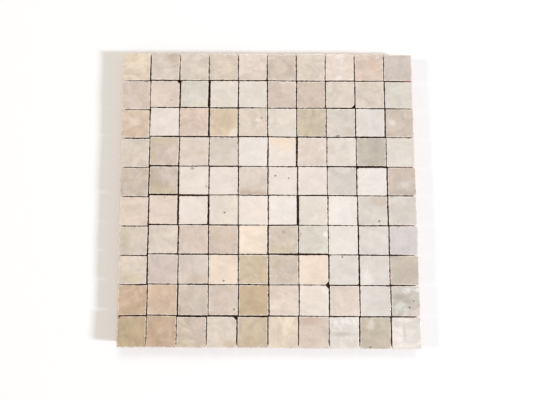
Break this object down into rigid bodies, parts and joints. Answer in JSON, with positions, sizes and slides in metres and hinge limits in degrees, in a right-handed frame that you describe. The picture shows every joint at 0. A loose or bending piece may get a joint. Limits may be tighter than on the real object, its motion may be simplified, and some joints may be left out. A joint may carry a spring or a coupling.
{
  "type": "mosaic tile sheet",
  "caption": "Square sheet of hand-cut glazed clay mosaic chips with undercut sides, laid edge to edge on a mesh backing.",
  "frame": {"origin": "middle of the mesh's underside, the face that is bonded to a wall or floor", "axes": "+Z out of the glazed faces, +X along a row of chips, +Y to the far edge of the sheet"},
  "size_m": [0.2573, 0.2546, 0.012],
  "materials": {
    "straw_glaze": "glossy, hand-glazed, with unglazed clay sides",
    "linen_glaze": "glossy, hand-glazed, with unglazed clay sides",
    "blush_glaze": "glossy, hand-glazed, with unglazed clay sides",
    "taupe_glaze": "glossy, hand-glazed, with unglazed clay sides",
    "rose_glaze": "glossy, hand-glazed, with unglazed clay sides",
    "stone_grey_glaze": "glossy, hand-glazed, with unglazed clay sides",
    "mauve_glaze": "glossy, hand-glazed, with unglazed clay sides",
    "sage_glaze": "glossy, hand-glazed, with unglazed clay sides",
    "cream_glaze": "glossy, hand-glazed, with unglazed clay sides",
    "honey_glaze": "glossy, hand-glazed, with unglazed clay sides",
    "shell_glaze": "glossy, hand-glazed, with unglazed clay sides",
    "olive_glaze": "glossy, hand-glazed, with unglazed clay sides",
    "pearl_grey_glaze": "glossy, hand-glazed, with unglazed clay sides",
    "frost_glaze": "glossy, hand-glazed, with unglazed clay sides",
    "milk_white_glaze": "glossy, hand-glazed, with unglazed clay sides",
    "lichen_glaze": "glossy, hand-glazed, with unglazed clay sides",
    "sand_glaze": "glossy, hand-glazed, with unglazed clay sides",
    "peach_glaze": "glossy, hand-glazed, with unglazed clay sides",
    "lilac_glaze": "glossy, hand-glazed, with unglazed clay sides",
    "glass_fibre_mesh": "coated glass-fibre yarn"
  },
  "bodies": {
    "root": {"straw_chips": "straw_glaze", "linen_chips": "linen_glaze", "blush_chips": "blush_glaze", "taupe_chips": "taupe_glaze", "rose_chips": "rose_glaze", "stone_grey_chips": "stone_grey_glaze", "mauve_chips": "mauve_glaze", "sage_chips": "sage_glaze", "cream_chips": "cream_glaze", "honey_chips": "honey_glaze", "shell_chips": "shell_glaze", "olive_chips": "olive_glaze", "pearl_grey_chips": "pearl_grey_glaze", "frost_chips": "frost_glaze", "milk_white_chips": "milk_white_glaze", "lichen_chips": "lichen_glaze", "sand_chips": "sand_glaze", "peach_chips": "peach_glaze", "lilac_chips": "lilac_glaze", "backing_mesh": "glass_fibre_mesh"}
  },
  "joints": []
}
